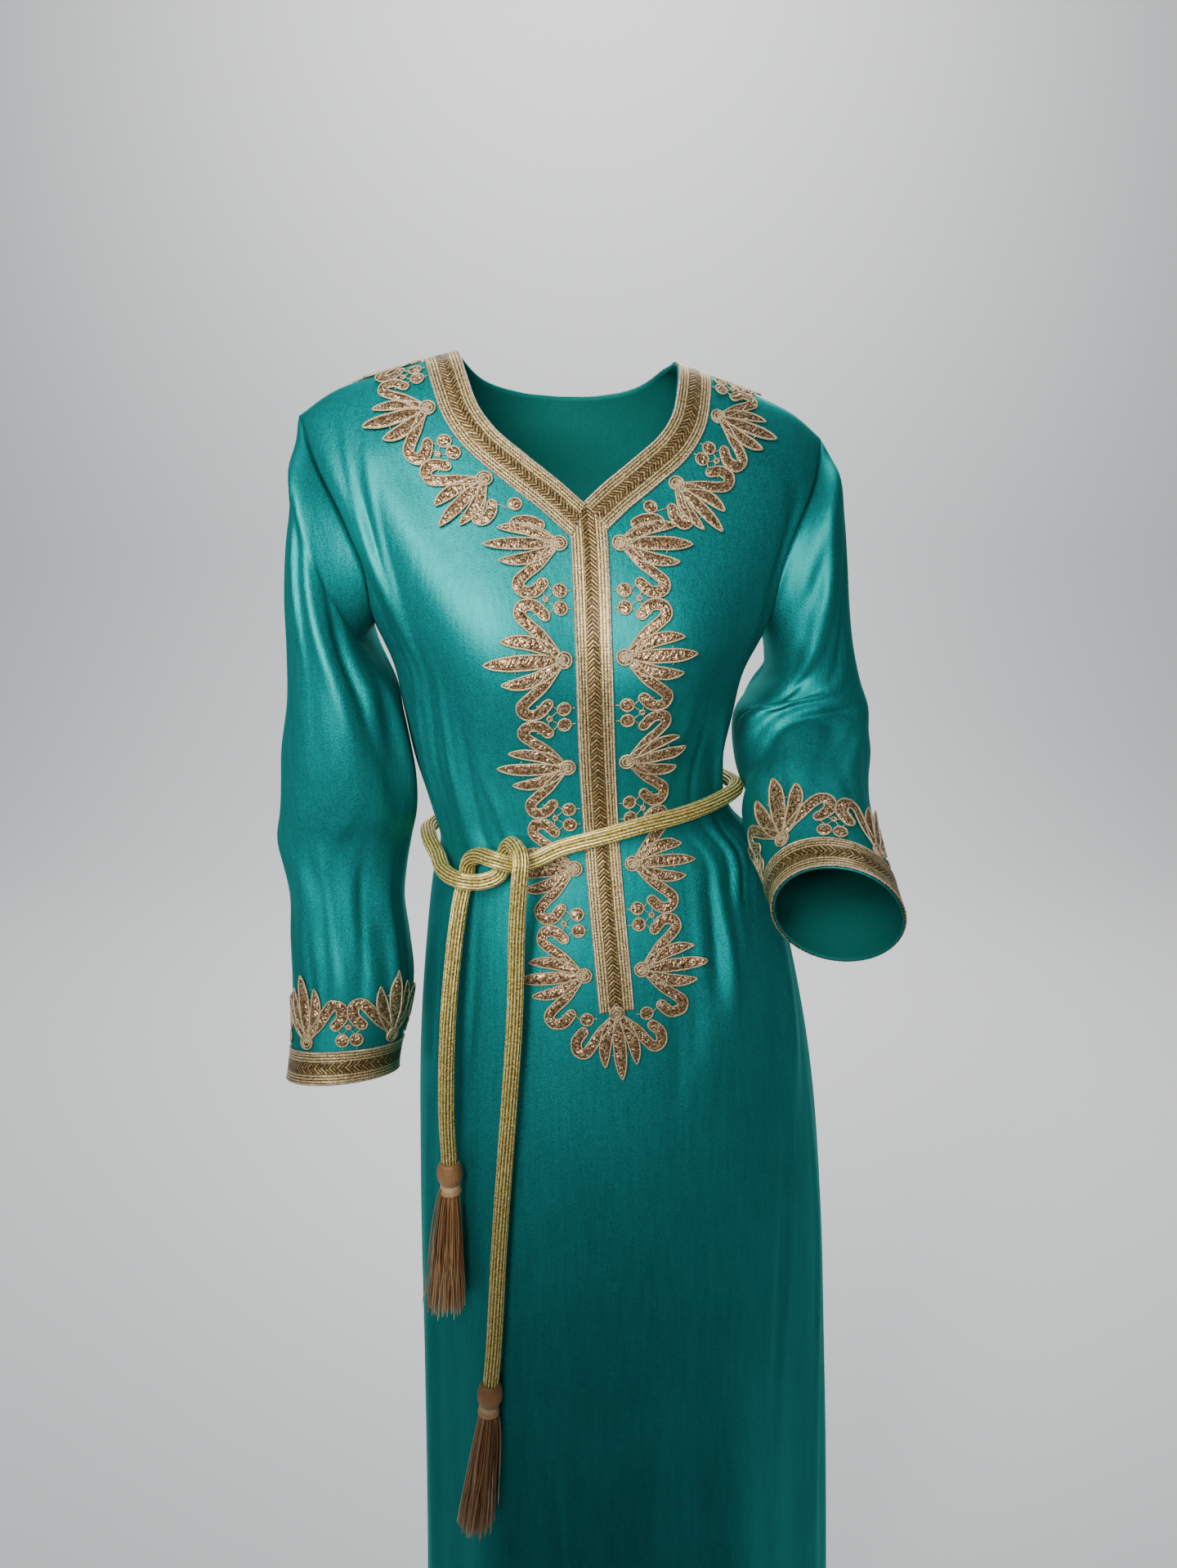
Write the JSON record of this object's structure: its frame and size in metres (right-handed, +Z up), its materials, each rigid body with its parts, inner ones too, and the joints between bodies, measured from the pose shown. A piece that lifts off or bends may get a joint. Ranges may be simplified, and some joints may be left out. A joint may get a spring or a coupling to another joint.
{
  "type": "jalabiya",
  "caption": "Floor-length satin dress with long sleeves, a V neck and front placket in gold braid edged with cutwork lace, and a knotted rope belt with tassels.",
  "frame": {"origin": "between the two points where the neck meets the shoulder seams, on the wearer's shoulders", "axes": "+Z up, the front faces -Y, +X is the viewer's right"},
  "size_m": [0.536, 0.3417, 1.4376],
  "materials": {
    "satin": "smooth satin sheen",
    "braid": "metallic gold thread",
    "lace": "metallic thread and sequins",
    "rope": "glittering metallic yarn",
    "thread": "shiny twisted thread"
  },
  "bodies": {
    "root": {"body_front": "satin", "body_back": "satin", "sleeve_left": "satin", "sleeve_right": "satin", "neck_braid": "braid", "placket_braid": "braid", "cuff_braid_left": "braid", "cuff_braid_right": "braid", "placket_lace_left": "lace", "placket_lace_right": "lace", "placket_lace_end": "lace", "neck_lace_left": "lace", "neck_lace_right": "lace", "cuff_lace_left": "lace", "cuff_lace_right": "lace", "belt_rope": "rope", "tassel_short": "thread", "tassel_long": "thread"}
  },
  "joints": []
}
